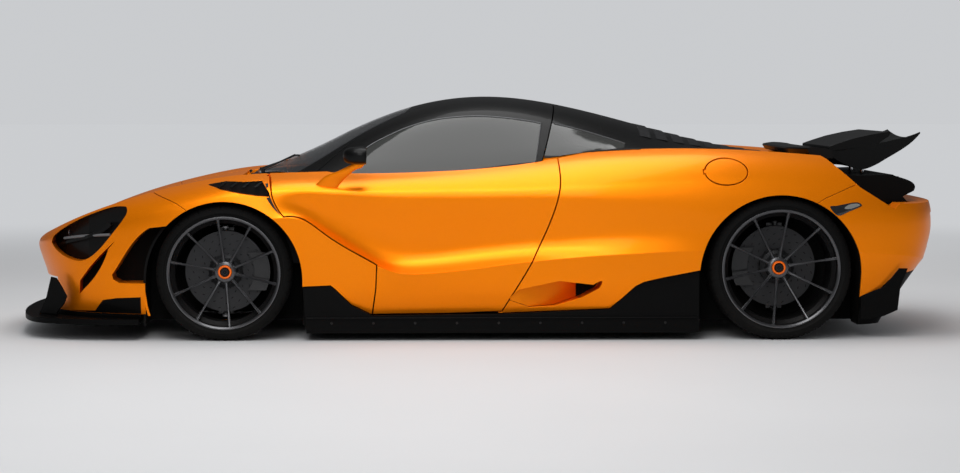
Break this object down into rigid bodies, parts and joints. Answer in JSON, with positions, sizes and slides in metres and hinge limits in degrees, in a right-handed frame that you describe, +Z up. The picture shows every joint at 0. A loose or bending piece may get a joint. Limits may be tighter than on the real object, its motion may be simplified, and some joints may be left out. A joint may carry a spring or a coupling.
{
  "type": "two-seat mid-engined sports car",
  "caption": "Low two-seat sports car with its engine behind the cabin, doors that swing out and up, a hinged front lid, steered front wheels and a tilting rear wing.",
  "frame": {"origin": "on the floor under the middle of the outline", "axes": "+X to the tail along the car's length, +Y to the car's right, +Z up"},
  "size_m": [4.5547, 2.1, 1.1658],
  "materials": {
    "body_paint": "orange metallic clear coat over composite panels",
    "black_trim": "satin black plastic",
    "composite": "gloss black woven composite",
    "glass": "grey tinted glass",
    "lamp": "dark lamp housing with a grey blade",
    "tail_lamp": "dark red lens",
    "alloy": "machined alloy",
    "cast_metal": "cast alloy",
    "exhaust_metal": "heat-tinted alloy steel",
    "tyre": "black rubber",
    "rim": "satin dark grey",
    "disc": "grey ceramic composite",
    "cabin_trim": "black suede-like trim",
    "seat_trim": "black trim over shells"
  },
  "bodies": {
    "base": {"front_bumper": "body_paint", "front_fender_left": "body_paint", "front_fender_right": "body_paint", "fender_vents": "black_trim", "headlights": "lamp", "nose_duct_liners": "black_trim", "front_grille": "black_trim", "front_tub": "composite", "cabin_tub": "composite", "windscreen": "glass", "roof_frame": "composite", "quarter_windows": "glass", "engine_cover": "composite", "rear_quarter_left": "body_paint", "rear_quarter_right": "body_paint", "rear_bumper": "body_paint", "tail_deck": "black_trim", "diffuser": "composite", "side_skirts": "composite", "front_splitter": "composite", "suspension_arms": "alloy", "rear_suspension": "alloy", "engine": "cast_metal", "rear_frame": "cast_metal", "exhausts": "exhaust_metal", "rear_spoiler": "composite", "tail_grille": "black_trim", "tail_lights": "tail_lamp", "cowl": "black_trim", "dashboard": "cabin_trim", "seats": "seat_trim"},
    "hood_body": {"hood": "body_paint"},
    "door_left": {"door_frame_left": "composite", "door_glass_left": "glass", "door_skin_left": "body_paint", "mirror_left": "black_trim"},
    "door_right": {"door_frame_right": "composite", "door_glass_right": "glass", "door_skin_right": "body_paint", "mirror_right": "black_trim"},
    "fuel_flap_body": {"fuel_flap": "body_paint"},
    "knuckle_left": {"front_knuckle_left": "alloy"},
    "knuckle_right": {"front_knuckle_right": "alloy"},
    "wing": {"rear_wing": "composite"},
    "steering_wheel_body": {"steering_wheel": "cabin_trim"},
    "wheel_front_left": {"tyre_front_left": "tyre", "rim_front_left": "rim", "brake_disc_front_left": "disc"},
    "wheel_rear_left": {"tyre_rear_left": "tyre", "rim_rear_left": "rim", "brake_disc_rear_left": "disc"},
    "wheel_front_right": {"tyre_front_right": "tyre", "rim_front_right": "rim", "brake_disc_front_right": "disc"},
    "wheel_rear_right": {"tyre_rear_right": "tyre", "rim_rear_right": "rim", "brake_disc_rear_right": "disc"}
  },
  "joints": [
    {"name": "door_left_hinge", "type": "hinge", "parent": "base", "child": "door_left", "pos_m": [-1.05, -0.76, 0.765], "axis": [-0.7076, -0.6121, -0.3531], "range_deg": [0, 75]},
    {"name": "door_right_hinge", "type": "hinge", "parent": "base", "child": "door_right", "pos_m": [-1.05, 0.76, 0.765], "axis": [0.7076, -0.6121, 0.3531], "range_deg": [0, 75]},
    {"name": "hood_hinge", "type": "hinge", "parent": "base", "child": "hood_body", "pos_m": [-1.188, 0, 0.768], "axis": [0, 1, 0], "range_deg": [0, 60]},
    {"name": "wing_pivot", "type": "hinge", "parent": "base", "child": "wing", "pos_m": [1.765, 0, 0.88], "axis": [0, -1, 0], "range_deg": [-6, 20]},
    {"name": "fuel_flap_hinge", "type": "hinge", "parent": "base", "child": "fuel_flap_body", "pos_m": [1.071, -0.8968, 0.804], "axis": [0, -0.6522, -0.758], "range_deg": [0, 75]},
    {"name": "steering_wheel_turn", "type": "hinge", "parent": "base", "child": "steering_wheel_body", "pos_m": [-0.545, -0.362, 0.705], "axis": [0.9404, 0, 0.3401], "range_deg": [-364, 364]},
    {"name": "steer_left", "type": "hinge", "parent": "base", "child": "knuckle_left", "pos_m": [-1.234, -0.79, 0.325], "axis": [0, 0, 1], "range_deg": [-28, 28]},
    {"name": "steer_right", "type": "hinge", "parent": "base", "child": "knuckle_right", "pos_m": [-1.234, 0.79, 0.325], "axis": [0, 0, 1], "range_deg": [-28, 28]},
    {"name": "wheel_front_left_spin", "type": "hinge", "parent": "knuckle_left", "child": "wheel_front_left", "pos_m": [-1.234, -0.825, 0.325], "axis": [0, 1, 0], "continuous": true},
    {"name": "wheel_rear_left_spin", "type": "hinge", "parent": "base", "child": "wheel_rear_left", "pos_m": [1.436, -0.805, 0.342], "axis": [0, 1, 0], "continuous": true},
    {"name": "wheel_front_right_spin", "type": "hinge", "parent": "knuckle_right", "child": "wheel_front_right", "pos_m": [-1.234, 0.825, 0.325], "axis": [0, 1, 0], "continuous": true},
    {"name": "wheel_rear_right_spin", "type": "hinge", "parent": "base", "child": "wheel_rear_right", "pos_m": [1.436, 0.805, 0.342], "axis": [0, 1, 0], "continuous": true}
  ],
  "couplings": [
    {"joint": "steer_right", "follows": "steering_wheel_turn", "ratio": 0.076923},
    {"joint": "steer_left", "follows": "steering_wheel_turn", "ratio": 0.076923}
  ]
}
